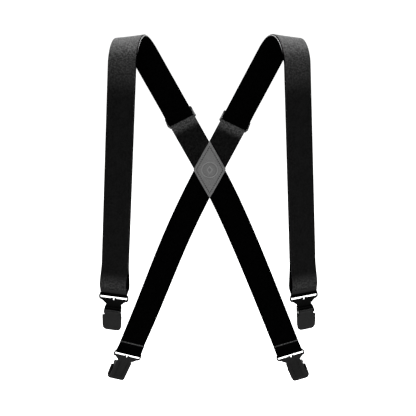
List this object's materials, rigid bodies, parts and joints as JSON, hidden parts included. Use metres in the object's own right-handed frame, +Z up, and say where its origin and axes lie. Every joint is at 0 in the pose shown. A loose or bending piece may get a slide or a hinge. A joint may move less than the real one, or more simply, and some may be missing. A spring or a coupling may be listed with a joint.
{
  "type": "suspenders",
  "caption": "Wide elastic clip-on suspenders with an X-shaped back, a leather crossing patch, shoulder-strap sliders and flap clips on the strap ends.",
  "frame": {"origin": "midway between the two shoulder loops, level with the highest point of their undersides, where a shoulder bears", "axes": "+Z up as worn, -Y the wearer's front, +X to the right seen from the front (the wearer's left)"},
  "size_m": [0.309, 0.0863, 0.5354],
  "materials": {
    "webbing": "matt black ribbed elastic webbing",
    "leather": "dark grey grained leather",
    "enamelled_metal": "satin black enamel",
    "pin": "satin black steel wire",
    "jaw_insert": "ribbed matt plastic"
  },
  "bodies": {
    "straps": {"left_webbing_front_outer": "webbing", "left_webbing_front_inner": "webbing", "left_webbing_shoulder_outer": "webbing", "left_webbing_shoulder_inner": "webbing", "left_webbing_front_low_outer": "webbing", "left_webbing_front_low_inner": "webbing", "left_webbing_end": "webbing", "left_webbing_back_upper": "webbing", "left_webbing_back_middle": "webbing", "left_webbing_back_lower": "webbing", "left_webbing_back_end": "webbing", "left_webbing_back_fold": "webbing", "right_webbing_front_outer": "webbing", "right_webbing_front_inner": "webbing", "right_webbing_shoulder_outer": "webbing", "right_webbing_shoulder_inner": "webbing", "right_webbing_front_low_outer": "webbing", "right_webbing_front_low_inner": "webbing", "right_webbing_end": "webbing", "right_webbing_back_upper": "webbing", "right_webbing_back_middle": "webbing", "right_webbing_back_lower": "webbing", "right_webbing_back_end": "webbing", "right_webbing_back_fold": "webbing", "cross_patch_inner": "leather", "cross_patch_outer": "leather"},
    "left_slider": {"left_slider_frame": "enamelled_metal", "left_slider_pin": "pin", "left_webbing_end_fold": "webbing"},
    "front_left_loop": {"left_webbing_front_fold": "webbing"},
    "right_slider": {"right_slider_frame": "enamelled_metal", "right_slider_pin": "pin", "right_webbing_end_fold": "webbing"},
    "front_right_loop": {"right_webbing_front_fold": "webbing"},
    "front_left_clip": {"front_left_back_plate": "enamelled_metal", "front_left_back_insert": "jaw_insert", "front_left_lever_pin": "pin"},
    "front_left_jaw": {"front_left_front_jaw": "enamelled_metal", "front_left_front_insert": "jaw_insert"},
    "front_left_lever": {"front_left_lever": "enamelled_metal"},
    "front_right_clip": {"front_right_back_plate": "enamelled_metal", "front_right_back_insert": "jaw_insert", "front_right_lever_pin": "pin"},
    "front_right_jaw": {"front_right_front_jaw": "enamelled_metal", "front_right_front_insert": "jaw_insert"},
    "front_right_lever": {"front_right_lever": "enamelled_metal"},
    "back_right_clip": {"back_right_back_plate": "enamelled_metal", "back_right_back_insert": "jaw_insert", "back_right_lever_pin": "pin"},
    "back_right_jaw": {"back_right_front_jaw": "enamelled_metal", "back_right_front_insert": "jaw_insert"},
    "back_right_lever": {"back_right_lever": "enamelled_metal"},
    "back_left_clip": {"back_left_back_plate": "enamelled_metal", "back_left_back_insert": "jaw_insert", "back_left_lever_pin": "pin"},
    "back_left_jaw": {"back_left_front_jaw": "enamelled_metal", "back_left_front_insert": "jaw_insert"},
    "back_left_lever": {"back_left_lever": "enamelled_metal"}
  },
  "joints": [
    {"name": "left_slider_slide", "type": "slide", "parent": "straps", "child": "left_slider", "axis": [-0.4724, 0, 0.8814], "range_m": [-0.03, 0.045], "deforming": ["left_webbing_end"]},
    {"name": "front_left_length", "type": "slide", "parent": "straps", "child": "front_left_loop", "axis": [-0.0485, 0, -0.9988], "range_m": [-0.015, 0.0225], "deforming": ["left_webbing_front_low_outer", "left_webbing_front_low_inner"]},
    {"name": "right_slider_slide", "type": "slide", "parent": "straps", "child": "right_slider", "axis": [0.4509, 0, 0.8926], "range_m": [-0.03, 0.045], "deforming": ["right_webbing_end"]},
    {"name": "front_right_length", "type": "slide", "parent": "straps", "child": "front_right_loop", "axis": [0.0418, 0, -0.9991], "range_m": [-0.015, 0.0225], "deforming": ["right_webbing_front_low_outer", "right_webbing_front_low_inner"]},
    {"name": "front_left_swivel", "type": "hinge", "parent": "front_left_loop", "child": "front_left_clip", "pos_m": [-0.13415, -0.02932, -0.36341], "axis": [-0.977, 0.2077, 0.0475], "range_deg": [-75, 75]},
    {"name": "front_left_lever_pivot", "type": "hinge", "parent": "front_left_clip", "child": "front_left_lever", "pos_m": [-0.13666, -0.03582, -0.38651], "axis": [-0.977, 0.2077, 0.0475], "range_deg": [0, 110]},
    {"name": "front_left_jaw_pivot", "type": "hinge", "parent": "front_left_clip", "child": "front_left_jaw", "pos_m": [-0.13573, -0.03225, -0.38295], "axis": [-0.977, 0.2077, 0.0475], "range_deg": [0, 8.25]},
    {"name": "front_right_swivel", "type": "hinge", "parent": "front_right_loop", "child": "front_right_clip", "pos_m": [0.13305, -0.02935, -0.36221], "axis": [-0.9329, -0.3581, -0.0391], "range_deg": [-75, 75]},
    {"name": "front_right_lever_pivot", "type": "hinge", "parent": "front_right_clip", "child": "front_right_lever", "pos_m": [0.1364, -0.03556, -0.38529], "axis": [-0.9329, -0.3581, -0.0391], "range_deg": [0, 110]},
    {"name": "front_right_jaw_pivot", "type": "hinge", "parent": "front_right_clip", "child": "front_right_jaw", "pos_m": [0.13494, -0.03215, -0.38175], "axis": [-0.9329, -0.3581, -0.0391], "range_deg": [0, 8.25]},
    {"name": "back_right_swivel", "type": "hinge", "parent": "straps", "child": "back_right_clip", "pos_m": [0.11714, 0.02855, -0.47932], "axis": [0.93, -0.0977, 0.3543], "range_deg": [-80, 70]},
    {"name": "back_right_lever_pivot", "type": "hinge", "parent": "back_right_clip", "child": "back_right_lever", "pos_m": [0.12593, 0.03755, -0.49992], "axis": [0.93, -0.0977, 0.3543], "range_deg": [0, 110]},
    {"name": "back_right_jaw_pivot", "type": "hinge", "parent": "back_right_clip", "child": "back_right_jaw", "pos_m": [0.12442, 0.03356, -0.49707], "axis": [0.93, -0.0977, 0.3543], "range_deg": [0, 8.25]},
    {"name": "back_left_swivel", "type": "hinge", "parent": "straps", "child": "back_left_clip", "pos_m": [-0.11782, 0.03008, -0.48027], "axis": [0.8928, 0.273, -0.3584], "range_deg": [-80, 70]},
    {"name": "back_left_lever_pivot", "type": "hinge", "parent": "back_left_clip", "child": "back_left_lever", "pos_m": [-0.12845, 0.03877, -0.50012], "axis": [0.8928, 0.273, -0.3584], "range_deg": [0, 110]},
    {"name": "back_left_jaw_pivot", "type": "hinge", "parent": "back_left_clip", "child": "back_left_jaw", "pos_m": [-0.12624, 0.03492, -0.49756], "axis": [0.8928, 0.273, -0.3584], "range_deg": [0, 8.25]}
  ],
  "couplings": [
    {"joint": "front_left_length", "follows": "left_slider_slide", "ratio": 0.5},
    {"joint": "front_right_length", "follows": "right_slider_slide", "ratio": 0.5},
    {"joint": "front_left_jaw_pivot", "follows": "front_left_lever_pivot", "ratio": 0.075},
    {"joint": "front_right_jaw_pivot", "follows": "front_right_lever_pivot", "ratio": 0.075},
    {"joint": "back_right_jaw_pivot", "follows": "back_right_lever_pivot", "ratio": 0.075},
    {"joint": "back_left_jaw_pivot", "follows": "back_left_lever_pivot", "ratio": 0.075}
  ]
}
